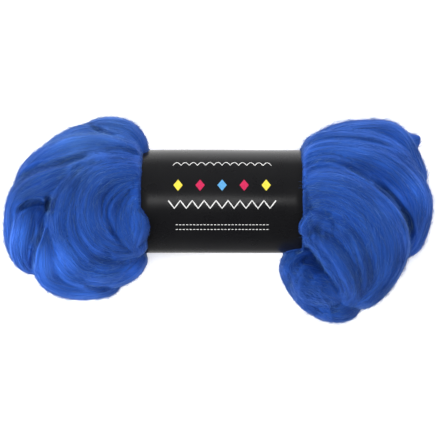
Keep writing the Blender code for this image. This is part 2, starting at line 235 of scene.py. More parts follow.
RIGHT_GATHERED = {
    "waist": [(90, 10, 42, 28, 24), (64, 14, 42, 40, 35), (44, 14, 42, 40, 35)],
    "core": [(66, 10, 38, 26, 22), (90, 7, 38, 36, 30), (112, -2, 37, 36, 32), (130, -10, 34, 28, 26)],
    "top": [(54, 44, 46, 5, 8), (64, 53, 47, 5, 11), (75, 60, 45, 6, 13), (92, 65.5, 43, 8, 15),
        (110, 68, 41, 8, 15), (127.5, 66.5, 38, 9, 15), (138.5, 58, 37, 9, 14),
        (145, 45.5, 36, 8.5, 13), (150, 34.5, 35, 8, 12), (151, 24, 33, 6, 11)],
    "shoulder": [(56, 46, 50, 5, 8), (66, 54, 51, 6, 11), (78, 58, 51, 8, 13), (96, 59, 50, 9, 14),
        (114, 56, 48, 10, 15), (130, 48, 45, 10, 15), (141, 37, 41, 9, 13), (147, 24, 38, 8, 11)],
    "between": [(50, 28, 56, 6, 8), (66, 38, 60, 8, 10), (84, 43, 60.5, 9, 11), (102, 38, 57, 9, 11),
        (117, 29, 53, 9, 12), (130, 16, 46, 8, 11)],
    "back": [(52, 38, 52, 6, 9), (64, 46, 54, 8, 13), (80, 50, 54, 11, 15), (100, 48, 53, 13, 17),
        (121, 40, 50, 16, 18), (136, 28, 46, 17, 19), (145, 14, 42, 16, 19), (147, -1, 38, 13, 18),
        (143, -16, 34, 11.5, 15), (136, -24, 30, 7, 11)],
    "fan": [(50, 15, 54, 13, 10), (63, 19, 60, 17, 13), (78, 21, 66, 19, 15), (95, 15, 67, 21, 17),
        (110, 1, 65, 24, 19), (119, -18, 60, 23, 20), (119, -36, 53, 16, 20), (111, -52, 45, 12, 18),
        (99, -61, 38, 8, 14)],
    "fan_middle": [(52, 6, 54, 8, 8), (66, 4, 60, 9, 11), (80, 2, 64, 10, 14), (94, -8, 65, 12, 17),
        (103, -24, 61, 12, 18), (107, -40, 54, 11, 17), (103, -53, 43, 9, 13)],
    "fan_fold": [(54, -3, 54, 8, 8), (63, -6, 60, 8, 10), (71, -10, 62, 10, 12), (82, -18, 64, 13, 15),
        (92, -31, 61, 14, 17), (99, -44, 53, 14, 17), (99, -53, 45, 12, 14), (95, -60, 35, 9, 12)],
    "under": [(56, 15, 20, 8, 10), (80, 44, 22, 12, 18), (110, 49, 22, 15, 22), (133, 30, 22, 16, 24),
        (138, 4, 21, 15, 23), (128, -24, 20, 15, 22), (105, -45, 20, 14, 21), (82, -45, 25, 14, 22),
        (67, -30, 26, 13, 20), (54, -11, 20, 6, 10)],
    "under_fold": [(54, 15, 22, 8, 11), (76, 17, 22, 15, 22), (100, 12, 23, 18, 26),
        (108, -7, 23, 16, 26), (92, -22, 22, 15, 22), (58, -3, 22, 9, 13)],
}

# Loops that stand clear of the sleeve or lie over its edge, in the same columns
LEFT_FREE = {
    "top": [(-56, 47, 46, 4, 8), (-57, 56, 46, 5, 11), (-61, 62, 44, 6.5, 13), (-68, 67, 42, 8, 14),
        (-79, 70, 40, 8, 14), (-90, 70.5, 37, 6, 12), (-101, 68, 34, 4, 9)],
    "side": [(-130, 15, 42, 8, 12), (-138, 7, 47, 12, 16), (-141.5, -7, 49, 13, 17),
        (-144, -21, 46, 12, 16), (-142, -31, 40, 8, 13), (-136, -36.5, 34, 4, 9)],
    "side_fill": [(-125, 16, 44, 6, 10), (-131, 9.5, 48, 8, 13), (-134.5, 1, 49, 9, 15),
        (-137, -11, 48, 8, 15)],
    "inner": [(-57, 25, 60, 6, 9), (-62, 18, 63, 11, 12), (-66, 7, 63, 15, 13), (-66, -5, 61, 15, 14),
        (-62, -15, 56, 11, 13), (-59, -22, 50, 6, 9)],
    "low_fill": [(-104, -22, 56, 8, 14), (-96, -29, 54, 9, 14), (-82, -30, 51, 9, 14),
        (-68, -28, 48, 8, 13), (-59, -25, 45, 6, 10)],
    "blend": [(-116, 8, 52, 8, 14), (-120, -6, 52, 10, 16), (-119, -22, 51, 11, 17),
        (-112, -36, 48, 11, 17), (-99, -43, 44, 10, 16), (-85, -44, 41, 8, 13), (-76, -42, 40, 5, 9)],
    "lip": [(-62, 12, 66, 6, 8), (-58, 4, 69, 8, 8), (-57, -4, 68, 8, 9), (-59, -12, 63, 7, 9),
        (-62, -19, 56, 5, 8)],
    "tip": [(-90, -42, 40, 7, 13), (-77, -41, 42, 9, 15), (-66, -35, 43, 9.5, 15),
        (-59, -29, 43, 7, 12), (-55, -25, 43, 4, 8)],
    "lower": [(-116, 20, 42, 5, 9), (-121, 8, 48, 7, 12), (-125, -7, 52, 9, 16),
        (-127, -24, 52, 11, 18), (-125, -41, 47, 10, 18), (-112, -50, 42, 8.5, 17),
        (-94, -52, 38, 7.5, 15), (-82, -51, 36, 6, 12), (-74, -45, 34, 4, 8)],
}
RIGHT_FREE = {
    "nub": [(126, 60, 34, 6, 10), (138, 61, 35, 5.6, 8.5), (146, 60.6, 36, 5.2, 7.5),
        (153, 59.4, 36, 4.2, 6)],
    "bump": [(64, -9, 63, 5, 8), (66, -3, 67, 8, 10), (72, 1, 68, 9, 11), (81, -1, 68, 8, 12),
        (89, -9, 65, 7, 12), (95, -19, 60, 5, 10)],
    "knob": [(72, -23, 43, 5, 9), (61, -26, 45, 8, 13), (54.5, -35, 44, 9, 17),
        (58.5, -44.5, 42, 9.5, 18), (66, -55.5, 38, 10, 17), (76, -62, 34, 10, 16),
        (90, -63, 30, 5, 10)],
    "knob_fill": [(57, -38, 45, 8, 14), (63, -43, 48, 12, 18), (71, -48, 49, 14, 19),
        (80, -53, 46, 12, 17), (87, -58, 40, 8, 12)],
    "hollow_fill": [(60, -29, 41, 7, 12), (69, -32, 42, 8, 13), (80, -37, 43, 7, 13)],
    "knob_fold": [(60, -31, 42, 5, 10), (64, -36, 44, 8, 12), (70, -43, 47, 10, 15),
        (79, -51, 46, 10, 16), (84, -59, 40, 9, 15), (88, -65, 32, 6, 11)],
    "tuft": [(73, -59, 33, 5, 11), (79, -65, 36, 9, 16), (89, -68, 37, 9, 17), (98, -65, 35, 9, 15),
        (106, -56, 32, 5, 11)],
    "tuft_top": [(79, -61, 40, 7, 11), (87, -64, 42, 9, 13), (96, -61, 40, 7, 11)],
}

# Plain oval of wool that fills the sleeve between the two ends' skins
WAIST_LEFT = -44.0
WAIST_RIGHT = 50.0
WAIST_STEPS = 12

# Colours, linear, and what goes with them
WOOL_DEEP = (0.0070, 0.040, 0.23, 1.0)
WOOL_MID = (0.0112, 0.059, 0.305, 1.0)
WOOL_LIGHT = (0.0210, 0.087, 0.395, 1.0)
# WOOL_PALE: the pale blue that the painted sheen, and the strays' paleness, are mixed towards
WOOL_PALE = (0.056, 0.140, 0.355, 1.0)
WOOL_SHEEN = (0.30, 0.58, 1.0, 1.0)
SHEEN_ROUGHNESS = 0.3
CARD_BLACK = (0.0060, 0.0060, 0.0070, 1.0)
CARD_WORN = (0.0075, 0.0075, 0.0085, 1.0)
CARD_ROUGHNESS = (0.24, 0.32)
PRINT_WHITE = (0.80, 0.80, 0.79, 1.0)
PRINT_BLUE = (0.10, 0.36, 0.68, 1.0)
PRINT_RED = (0.58, 0.012, 0.085, 1.0)
PRINT_YELLOW = (0.83, 0.68, 0.06, 1.0)
FLOOR_WHITE = (0.90, 0.90, 0.90, 1.0)
FLOOR_GLOW = 0.5
FLOOR_REACH = 4000.0

# Painted light and shade: soft areas of wool whose colour is made this many times as light as elsewhere, to
# stand in for light falling on folds and shade lying in them, and mixed this far towards WOOL_PALE as
# painted sheen
PaintedLightArea = namedtuple("PaintedLightArea", "name x y radius gain pale", defaults=[0.0])
PAINTED_LIGHT_AREAS = [PaintedLightArea(*row) for row in (
    ("top_lobe", -76, 69, 15, 1.35, 0.45),
    ("upper_left", -102, 58, 19, 1.4, 0.52),
    ("left_shoulder", -108, 31, 15, 0.62),
    ("left_fan", -108, -3, 18, 0.8),
    ("side", -143, -12, 12, 1.6, 0.16),
    ("lower_lobe", -119, -32, 14, 2.6, 0.32),
    ("lower_edge", -98, -54, 14, 1.8, 0.2),
    ("side_crease", -133, -14, 5, 0.5),
    ("hollow", -123.5, 10, 5.5, 0.48),
    ("left_back", -143, 22, 12, 0.65),
    ("left_middle", -88, 14, 22, 0.86),
    ("under_fan", -86, -30, 12, 0.96),
    ("right_top", 100, 66, 26, 1.3, 0.18),
    ("right_band", 100, 48, 16, 1.3, 0.07),
    ("fan_top", 84, 30, 15, 1.05, 0.07),
    ("right_side", 141, 19, 17, 2.1, 0.1),
    ("fan_middle", 100, -5, 20, 0.98),
    ("fan_low", 112, -42, 20, 0.7),
    ("bump", 74, -8, 15, 0.6),
    ("knob", 62, -41, 15, 0.62),
    ("knob_low", 77, -45, 9, 1.5, 0.04),
    ("knob_side", 84, -56, 7, 1.3),
    ("knob_top", 64, -30, 9, 1.5),
    ("tuft", 88, -66, 14, 0.84),
    ("wedge", 139, 1, 7, 0.72),
    ("fan_rim", 122, 8, 12, 1.3, 0.03),
    ("fan_rim_low", 131, -11, 8, 1.35, 0.04),
    ("over_rim", 119, 36, 9, 1.6, 0.04),
    ("side_low", 145, -18, 9, 1.6, 0.04),
    ("corner_top", 133, 62, 12, 1.65, 0.08),
    ("beside_card", 70, 18, 9, 0.66),
    ("left_inner", -82, 2, 9, 1.5, 0.02),
    ("fan_foot", -63, -37, 8, 2.0, 0.04),
    ("top_inner", -91, 65, 10, 0.7, -0.12),
    ("fan_low_edge", 128, -41, 8, 1.35, 0.02),
    ("knob_right", 70, -41, 6, 1.3),
    ("inner_low", -78, -12, 6, 1.4),
    ("over_hollow", -120, 16, 6, 0.74),
    ("bump_right", 81, 0, 5, 1.4),
    ("lower_inner", -102, -41, 7, 0.74, -0.05),
    ("side_top", -131, 6, 4, 1.45),
    ("fan_front", 93, -11, 7, 0.76),
)]

# Light: how strong the white room is by height and from its near to its far side, how strong gloss shows it
# by the same, and the soft lamps
ROOM_AT_HORIZON = 4.0
ROOM_OVERHEAD = 0.3
ROOM_NEAR = 0.65
ROOM_FAR = 1.2
GLOSS_ABOVE = 0.2
GLOSS_BELOW = 1.0
GLOSS_NEAR = 0.3
GLOSS_FAR = 2.0
Lamp = namedtuple("Lamp", "name watts size place in_gloss")
LAMPS = [
    Lamp("near_left", 20.0, 0.5, (-1.1, -0.5, 0.4), False),
    Lamp("far", 6.0, 0.7, (-0.3, 1.1, 0.5), False),
    Lamp("overhead", 2.6, 0.3, (0.0, 0.02, 1.25), False),
    Lamp("gleam", 1.5, 0.22, (0.0, 0.05, 1.25), True),
]

# Print on the card, a generic pattern of bands: places round the card count from its crown
PRINT_LIFT = 0.06
PRINT_THICKNESS = 0.04
PRINT_MIDDLE = 3.0
PRINT_RADIUS = 38.0
PRINT_WORN = 0.82
Wave = namedtuple("Wave", "name at turns width height line corners")
WAVES = [
    Wave("zigzag", -2.5, 9, 78.0, 5.6, 0.9, 1),
    Wave("scallops", 29.5, 12, 72.0, 3.0, 0.45, 4),
]
Dashes = namedtuple("Dashes", "name at count width length line")
DASHES = [
    Dashes("stitches_upper", -17.6, 27, 66.0, 1.5, 0.5),
    Dashes("stitches_lower", -21.4, 27, 66.0, 1.5, 0.5),
]
Diamonds = namedtuple("Diamonds", "name at place half_width half_height colour")
DIAMONDS = [
    Diamonds("diamond_a", 11.5, -32.0, 3.4, 4.2, PRINT_YELLOW),
    Diamonds("diamond_b", 11.5, -16.0, 3.4, 4.2, PRINT_RED),
    Diamonds("diamond_c", 11.5, 0.0, 3.4, 4.2, PRINT_BLUE),
    Diamonds("diamond_d", 11.5, 16.0, 3.4, 4.2, PRINT_RED),
    Diamonds("diamond_e", 11.5, 32.0, 3.4, 4.2, PRINT_YELLOW),
]

# Camera: straight above, a metre from the hank's middle height
CAMERA_AT = (0.00095, 0.0020, 1.042)
LENS = 50.0
PHOTO_WIDTH = 438
METRES_PER_PIXEL = 0.00075
CAMERA_REACH = 1.0


def put(name, data):
    """Add an object of some data to the scene."""
    made = bpy.data.objects.new(name, data)
    bpy.context.scene.collection.objects.link(made)
    return made


def add_mesh(name, points, faces):
    """Make an object of points in millimetres and of faces, with smooth shading."""
    mesh = bpy.data.meshes.new(name)
    mesh.from_pydata(((np.asarray(points) + CENTRING) * MM).tolist(), [], faces)
    mesh.shade_smooth()
    return put(name, mesh)


def as_modified(source, name):
    """Give a new object of a source's mesh as its modifiers leave it, and remove the source."""
    evaluated = source.evaluated_get(bpy.context.evaluated_depsgraph_get())
    mesh = bpy.data.meshes.new_from_object(evaluated)
    mesh.name = name
    bpy.data.objects.remove(source)
    return put(name, mesh)


def mesh_points(mesh):
    """Read a mesh's points and normals, in millimetres and in the frame that the loops are laid in."""
    flat = np.empty(len(mesh.vertices) * 3, np.float32)
    mesh.vertices.foreach_get("co", flat)
    points = flat.reshape(-1, 3).astype(float) / MM - CENTRING
    mesh.vertex_normals.foreach_get("vector", flat)
    return points, flat.reshape(-1, 3).astype(float)


def whole_numbers(items, name):
    """Read a whole number from each item of a mesh."""
    values = np.empty(len(items), np.int32)
    items.foreach_get(name, values)
    return values


def soft_noise(x, y, seed):
    """Smooth random heights between -1 and 1, with one cell to a unit of x or y."""
    cells = 64
    grid = np.random.default_rng(seed).uniform(-1, 1, (cells, cells))
    column = np.floor(x).astype(int)
    line = np.floor(y).astype(int)
    fx = x - column
    fy = y - line
    fx = fx * fx * (3 - 2 * fx)
    fy = fy * fy * (3 - 2 * fy)
    left = column % cells
    right = (column + 1) % cells
    low = line % cells
    high = (line + 1) % cells
    near = grid[left, low] * (1 - fx) + grid[right, low] * fx
    far = grid[left, high] * (1 - fx) + grid[right, high] * fx
    return near * (1 - fy) + far * fy


def smooth_rows(rows, steps):
    """Read rows off the smooth curve that passes through all of a loop's own rows."""
    rows = np.array(rows, float)
    padded = np.vstack([2 * rows[0] - rows[1], rows, 2 * rows[-1] - rows[-2]])
    place = np.linspace(0, len(rows) - 1, steps)
    span = np.minimum(place.astype(int), len(rows) - 2)
    t = (place - span)[:, None]
    before, start, end, after = (padded[span + k] for k in range(4))
    slope = end - before
    bend = 2 * before - 5 * start + 4 * end - after
    turn = 3 * start - before - 3 * end + after
    return start + 0.5 * (slope * t + bend * t**2 + turn * t**3)


def loop_sections(rows):
    """Give a loop's rings of points, from its underside round: soft ovals that close at both ends."""
    x, y, z, half_width, half_height = smooth_rows(rows, LOOP_STEPS).T
    centre = np.stack([x, y, z], axis=1)
    along = np.gradient(centre, axis=0)
    along /= np.linalg.norm(along, axis=1)[:, None]
    across = np.cross([0.0, 0.0, 1.0], along)
    across /= np.linalg.norm(across, axis=1)[:, None]
    upward = np.cross(along, across)
    place = np.linspace(0, 1, LOOP_STEPS)
    from_end = np.clip(np.minimum(place, 1 - place) / END_LENGTH, 0, 1)
    size = np.maximum(np.sqrt(1 - (1 - from_end) ** 2), SMALLEST_END)
    angle = np.linspace(-0.5 * math.pi, 1.5 * math.pi, LOOP_SIDES, endpoint=False)
    c = np.sign(np.cos(angle)) * np.abs(np.cos(angle)) ** (2 / LOOP_ROUNDNESS)
    s = np.sign(np.sin(angle)) * np.abs(np.sin(angle)) ** (2 / LOOP_ROUNDNESS)
    wide = across[:, None, :] * (half_width * size)[:, None, None] * c[None, :, None]
    tall = upward[:, None, :] * (half_height * size)[:, None, None] * s[None, :, None]
    return centre[:, None, :] + wide + tall


def past_sleeve(points):
    """Give how far along x points stand beyond the sleeve's ends."""
    return np.maximum(np.maximum(SLEEVE_LEFT - points[..., 0], points[..., 0] - SLEEVE_RIGHT), 0)


def draw_in(points, scale):
    """Draw points in to the sleeve's axis, each by its own scale."""
    y = SLEEVE_Y + (points[..., 1] - SLEEVE_Y) * scale
    z = SLEEVE_Z + (points[..., 2] - SLEEVE_Z) * scale
    return np.stack([points[..., 0], y, z], axis=-1)


def gather(points):
    """Draw points in to the card where they pass through the sleeve, and let them flare past its ends."""
    past = past_sleeve(points)
    y = (points[..., 1] - SLEEVE_Y) / (SLEEVE_HALF_WIDTH - CARD / 2)
    z = (points[..., 2] - SLEEVE_Z) / (SLEEVE_HALF_HEIGHT - CARD / 2)
    limit = 1 + FLARE * np.sqrt(past) + FLARE_SPREAD * past
    return draw_in(points, limit / np.maximum(np.hypot(y, z), limit))


def oval_reach(points):
    """Give how far points stand from the sleeve's axis, counted along the oval's half width."""
    y, z = points[..., 1], points[..., 2]
    return np.hypot(y - SLEEVE_Y, (z - SLEEVE_Z) * SLEEVE_HALF_WIDTH / SLEEVE_HALF_HEIGHT)


def in_sleeve(points):
    """Tell which points lie between the sleeve's ends and inside its oval."""
    x = points[..., 0]
    return (x > SLEEVE_LEFT) & (x < SLEEVE_RIGHT) & (oval_reach(points) < SLEEVE_HALF_WIDTH)


def oval_points(x, angle, out):
    """Give points round the sleeve's oval, each standing out from it by a length."""
    y = SLEEVE_Y + (SLEEVE_HALF_WIDTH + out) * np.cos(angle)
    z = SLEEVE_Z + (SLEEVE_HALF_HEIGHT + out) * np.sin(angle)
    return np.stack([x, y, z], axis=-1)


def clear_card(points, over):
    """Keep points off the floor and clear of the card: over it where over is true, and else inside it."""
    x = points[..., 0]
    radial = oval_reach(points)
    inner = SLEEVE_HALF_WIDTH - CARD - WOOL_TO_CARD
    outer = SLEEVE_HALF_WIDTH + WOOL_TO_CARD
    moved = np.where(over, np.maximum(radial, outer), np.minimum(radial, inner))
    within = (x > SLEEVE_LEFT - RIM_MARGIN) & (x < SLEEVE_RIGHT + RIM_MARGIN)
    points = draw_in(points, np.where(within, moved / np.maximum(radial, WOOL_TO_CARD), 1.0))
    points[..., 2] = np.maximum(points[..., 2], 0.0)
    return points


def ring_faces(first, rings, sides):
    """Join rings of points, numbered from first, into a closed skin with flat ends."""
    faces = []
    for ring in range(rings - 1):
        for side in range(sides):
            a = first + ring * sides + side
            b = first + ring * sides + (side + 1) % sides
            faces.append((a, a + sides, b + sides, b))
    last = first + (rings - 1) * sides
    faces.append(tuple(first + side for side in range(sides)))
    faces.append(tuple(last + side for side in reversed(range(sides))))
    return faces


class Flow:
    """The fibre flow of one end's loops: how far along and round a loop any place near them is."""

    def __init__(self, loops):
        """Keep each loop's points and the unit steps along and round it."""
        self.points = np.stack(loops)
        along = np.gradient(self.points, axis=1)
        around = (np.roll(self.points, -1, axis=2) - np.roll(self.points, 1, axis=2)) / 2
        self.step_along = np.maximum(np.linalg.norm(along, axis=3), 0.01)
        self.step_around = np.maximum(np.linalg.norm(around, axis=3), 0.01)
        self.along = along / self.step_along[..., None]
        self.around = around / self.step_around[..., None]
        self.girth = self.step_around.sum(axis=2).mean(axis=1)
        self.length = self.step_along.mean(axis=2).sum(axis=1)
        self.tree = KDTree(len(loops) * LOOP_STEPS * LOOP_SIDES)
        for number, point in enumerate(self.points.reshape(-1, 3)):
            self.tree.insert(point, number)
        self.tree.balance()

    def places(self, points):
        """Give each point's loop, and as fractional counts its step along and its side round."""
        nearest = np.array([self.tree.find(point)[1] for point in points])
        at = np.unravel_index(nearest, self.points.shape[:3])
        offset = points - self.points[at]
        step_part = (offset * self.along[at]).sum(axis=1) / self.step_along[at]
        side_part = (offset * self.around[at]).sum(axis=1) / self.step_around[at]
        loop, step, side = at
        return loop, step + np.clip(step_part, -1, 1), side + np.clip(side_part, -1, 1)

    def lengths(self, loop, step, side):
        """Turn counts along and round a loop into lengths, apart for each loop."""
        along = step / LOOP_STEPS * self.length[loop] + LOOPS_APART[0] * loop
        around = side / LOOP_SIDES * self.girth[loop] + LOOPS_APART[1] * loop
        return along, around

    def surface(self, loop, step, side):
        """Give the points of the loops' own surfaces at fractional counts."""
        step = np.clip(step, 0, LOOP_STEPS - 1.001)
        low = step.astype(int)
        fs = (step - low)[..., None]
        left = np.floor(side).astype(int)
        fa = (side - left)[..., None]
        right = (left + 1) % LOOP_SIDES
        left = left % LOOP_SIDES
        near = self.points[loop, low, left] * (1 - fa) + self.points[loop, low, right] * fa
        far = self.points[loop, low + 1, left] * (1 - fa) + self.points[loop, low + 1, right] * fa
        return near * (1 - fs) + far * fs


def near_creases(points):
    """Give each crease, the points near it, how many widths away they lie, and how full it is there."""
    for crease in CREASES:
        path = smooth_rows(crease.path, CREASE_STEPS)
        place = np.linspace(0, 1, CREASE_STEPS)
        full = np.clip(np.minimum(place, 1 - place) / CREASE_FADE, CREASE_AT_END, 1)
        reach = CREASE_REACH * crease.width
        low = path.min(axis=0) - reach
        high = path.max(axis=0) + reach
        near = np.nonzero(((points[:, :2] > low) & (points[:, :2] < high)).all(axis=1))[0]
        if len(near) == 0:
            continue
        apart = np.linalg.norm(points[near, None, :2] - path[None, :, :], axis=2)
        closest = apart.argmin(axis=1)
        yield crease, near, apart.min(axis=1) / crease.width, full[closest]


def press_creases(points, normals):
    """Give how far the creases and their raised shoulders move each upward point."""
    height = np.zeros(len(points))
    facing = np.clip(normals[:, 2] * FACING, 0, 1)
    for crease, near, apart, full in near_creases(points):
        shape = SHOULDER * np.exp(-((apart - SHOULDER_AT) ** 2) * 2) - np.exp(-apart**2)
        height[near] += crease.depth * shape * full * facing[near]
    return height


def matted(points):
    """Give how matted the wool is at each point, from none to wholly."""
    amount = np.zeros(len(points))
    for area in MATTED:
        amount += np.exp(-((points[:, 0] - area.x) ** 2 + (points[:, 1] - area.y) ** 2) / area.radius**2)
    return np.clip(amount, 0, 1)


def lump_noise(points, size, seed):
    """Give soft lumps of one size, on the upper side and on the steep sides alike."""
    x, y, z = points.T / size
    return soft_noise(x + 0.6 * z, y - 0.7 * z, seed)


def make_skin(name, gathered, free):
    """Melt one end's loops into a fine skin, and raise long soft ridges on it along the flow."""
    loops = [gather(loop_sections(rows)) for rows in gathered.values()]
    loops += [loop_sections(rows) for rows in free.values()]
    points = np.concatenate([loop.reshape(-1, 3) for loop in loops])
    faces = []
    for number in range(len(loops)):
        faces.extend(ring_faces(number * LOOP_STEPS * LOOP_SIDES, LOOP_STEPS, LOOP_SIDES))
    laid = add_mesh(name + "_laid", points, faces)
    skin = laid.modifiers.new("one_skin", "REMESH")
    skin.mode = "VOXEL"
    skin.voxel_size = SKIN_GRID * MM
    skin.use_smooth_shade = True
    soften = laid.modifiers.new("soften", "SMOOTH")
    soften.factor = SMOOTHING
    soften.iterations = SMOOTHING_ROUNDS
    made = as_modified(laid, name)
    flow = Flow(loops)
    points, normals = mesh_points(made.data)
    over = oval_reach(points) > SLEEVE_HALF_WIDTH + OVER_CARD
    loop, step, side = flow.places(points)
    along, around = flow.lengths(loop, step, side)
    height = press_creases(points, normals)
    mats = matted(points)
    for ridges in RIDGES:
        waves = soft_noise(around / ridges.spacing, along / ridges.length, ridges.seed)
        height += ridges.height * waves * (1 - (1 - MATTED_RIDGES) * mats)
    for lumps in LUMPS:
        height += lumps.height * mats * lump_noise(points, lumps.size, lumps.seed)
    around = around + MATTED_SWAY * mats * lump_noise(points, MATTED_SWAY_SIZE, MATTED_SWAY_SEED)
    points = clear_card(points + normals * height[:, None], over)
    made.data.vertices.foreach_set("co", ((points + CENTRING) * MM).astype(np.float32).ravel())
    made.data.update()
    add_flow_map(made.data, loop, along, around)
    return made, flow, (loop, step, side)


def add_flow_map(mesh, loop, along, around):
    """Store each corner's lengths along and round its loop as a map that the material streaks follow."""
    corner = whole_numbers(mesh.loops, "vertex_index")
    starts = whole_numbers(mesh.polygons, "loop_start")
    first = np.repeat(corner[starts], whole_numbers(mesh.polygons, "loop_total"))
    jump = (loop[corner] != loop[first]) | (np.abs(around[corner] - around[first]) > FLOW_JUMP)
    source = np.where(jump, first, corner)
    write_map(mesh, "flow", np.stack([along[source], around[source]], axis=1) / FLOW_UNIT)


def write_map(mesh, name, values):
    """Store a pair of values for each corner of a mesh."""
    layer = mesh.uv_layers.new(name=name)
    layer.data.foreach_set("uv", np.asarray(values).astype(np.float32).ravel())


def add_painted_shading_map(mesh, base_pale):
    """Store painted light, shade and sheen at each corner, from soft areas, creases and the card's ends."""
    points, _ = mesh_points(mesh)
    tone = np.ones(len(points))
    pale = np.full(len(points), base_pale)
    # Painted light and shade from the soft areas, and painted sheen by their pale
    for area in PAINTED_LIGHT_AREAS:
        apart = np.hypot(points[:, 0] - area.x, points[:, 1] - area.y) / area.radius
        within = np.exp(-(apart**2))
        tone *= area.gain**within
        pale += area.pale * within
    upper = np.clip((points[:, 2] - UPPER_SIDE) / UPPER_FADE, 0, 1)
    # Painted shade in creases, and painted light along raised lines
    for crease, near, apart, full in near_creases(points):
        tone[near] *= np.exp(-CREASE_PAINTED_SHADE * crease.depth * np.exp(-(apart**2)) * full * upper[near])
    # Painted shade where the wool leaves the card's ends
    near_card = oval_reach(points) < SLEEVE_HALF_WIDTH + EDGE_HEIGHT
    held = np.exp(-((past_sleeve(points) / EDGE_REACH) ** 2)) * near_card
    tone *= 1 - (1 - EDGE_PAINTED_SHADE) * held
    corner = whole_numbers(mesh.loops, "vertex_index")
    write_map(mesh, "tone", np.stack([tone[corner], pale[corner]], axis=1))


def thread_paths(threads, skin, flow, places, chooser):
    """Lead threads along the loops' own surfaces, and lay them down on the skin where they meet it."""
    points, _ = mesh_points(skin.data)
    tree = BVHTree.FromPolygons(points.tolist(), [tuple(face.vertices) for face in skin.data.polygons])
    loop, step, side = places
    start = chooser.integers(0, len(points), threads.count)
    loop = loop[start]
    length = threads.length * chooser.uniform(*THREAD_LENGTHS, threads.count)
    reach = length / flow.length[loop] * LOOP_STEPS
    t = np.linspace(-0.5, 0.5, threads.steps)
    steps = step[start][:, None] + reach[:, None] * t
    astray = 1 + MATTED_DRIFT * matted(points[start])
    drift = (chooser.normal(0, threads.drift, threads.count) * astray)[:, None] * t
    sway = chooser.normal(0, threads.drift / 3, threads.count)[:, None] * np.sin(math.pi * (t + 0.5))
    sides = side[start][:, None] + drift + sway
    wanted = flow.surface(np.repeat(loop[:, None], threads.steps, axis=1), steps, sides)
    paths = []
    for line in wanted:
        laid = []
        for point in line:
            place, normal, _, distance = tree.find_nearest(point)
            if distance < THREAD_SEARCH and not in_sleeve(np.array(place)):
                laid.append((place, normal))
            elif len(laid) > 3:
                break
            else:
                laid = []
        if len(laid) > 4:
            paths.append(np.array(laid).transpose(1, 0, 2))
    return paths


def thread_mesh(name, paths, threads, chooser):
    """Build each path as a flat three-sided thread with tapered ends and a shade of its own."""
    vertices = []
    faces = []
    shades = []
    over = []
    for path, upward in paths:
        count = len(path)
        along = np.gradient(path, axis=0)
        along /= np.maximum(np.linalg.norm(along, axis=1), 0.001)[:, None]
        across = np.cross(upward, along)
        across /= np.maximum(np.linalg.norm(across, axis=1), 0.001)[:, None]
        taper = np.sin(math.pi * np.linspace(0.04, 0.96, count)) ** 0.6
        width = threads.half_width * chooser.uniform(*THREAD_WIDTHS) * taper
        height = threads.height * chooser.uniform(*THREAD_HEIGHTS) * taper
        base = path + upward * (threads.lift * chooser.uniform(0.0, 2.0))
        aside = across * width[:, None]
        ring = np.stack([base - aside, base + aside, base + upward * height[:, None]], axis=1)
        faces.extend(ring_faces(len(vertices), count, 3))
        vertices.extend(ring.reshape(-1, 3))
        shades.extend([chooser.uniform(*SHADES)] * (count * 3))
        over.extend(np.repeat(oval_reach(path) > SLEEVE_HALF_WIDTH - CARD, 3))
    vertices = clear_card(np.array(vertices), np.array(over))
    made = add_mesh(name, vertices, faces)
    shade = np.array(shades)[whole_numbers(made.data.loops, "vertex_index")]
    write_map(made.data, "flow", np.stack([shade, shade], axis=1))
    return made


def stray_paths(threads, skin, flow, places, chooser):
    """Let short fibres lift off the skin, curving away from the flow."""
    points, normals = mesh_points(skin.data)
    chance = 1 + STRAYS_ON_SIDES * (1 - np.abs(normals[:, 2])) ** 2 + STRAYS_ON_MATTED * matted(points)
    chance = np.where(in_sleeve(points), 0.0, chance)
    start = chooser.choice(len(points), threads.count, p=chance / chance.sum())
    loop, step, side = (values[start] for values in places)
    step = np.clip(np.round(step).astype(int), 0, LOOP_STEPS - 1)
    side = np.round(side).astype(int) % LOOP_SIDES
    along = flow.along[loop, step, side] * chooser.choice([-1.0, 1.0], threads.count)[:, None]
    around = np.cross(normals[start], along)
    length = threads.length * chooser.uniform(*STRAY_LENGTHS, threads.count)
    length = np.where(past_sleeve(points[start]) < EDGE_STRAYS, EDGE_STRAYS_LENGTH * length, length)
    rise = chooser.uniform(*STRAY_RISES, threads.count)
    turn = chooser.normal(0, STRAY_TURN, threads.count)
    t = np.linspace(0, 1, threads.steps)
    paths = []
    for k in range(threads.count):
        ahead = along[k] * (t * length[k])[:, None]
        up = normals[start[k]] * (rise[k] * length[k] * t**1.5)[:, None]
        sideways = around[k] * (turn[k] * length[k] * t**2)[:, None]
        path = points[start[k]] + ahead + up + sideways
        upward = np.repeat(normals[start[k]][None, :], threads.steps, axis=0)
        paths.append((path, upward))
    return paths


def make_waist():
    """Make the plain oval of wool that fills the sleeve between the two ends' skins."""
    angle = np.linspace(0, 2 * math.pi, LOOP_SIDES, endpoint=False)
    x, turned = np.meshgrid(np.linspace(WAIST_LEFT, WAIST_RIGHT, WAIST_STEPS), angle, indexing="ij")
    points = oval_points(x, turned, -CARD - 2 * WOOL_TO_CARD)
    return add_mesh("wool_waist", points.reshape(-1, 3), ring_faces(0, WAIST_STEPS, LOOP_SIDES))


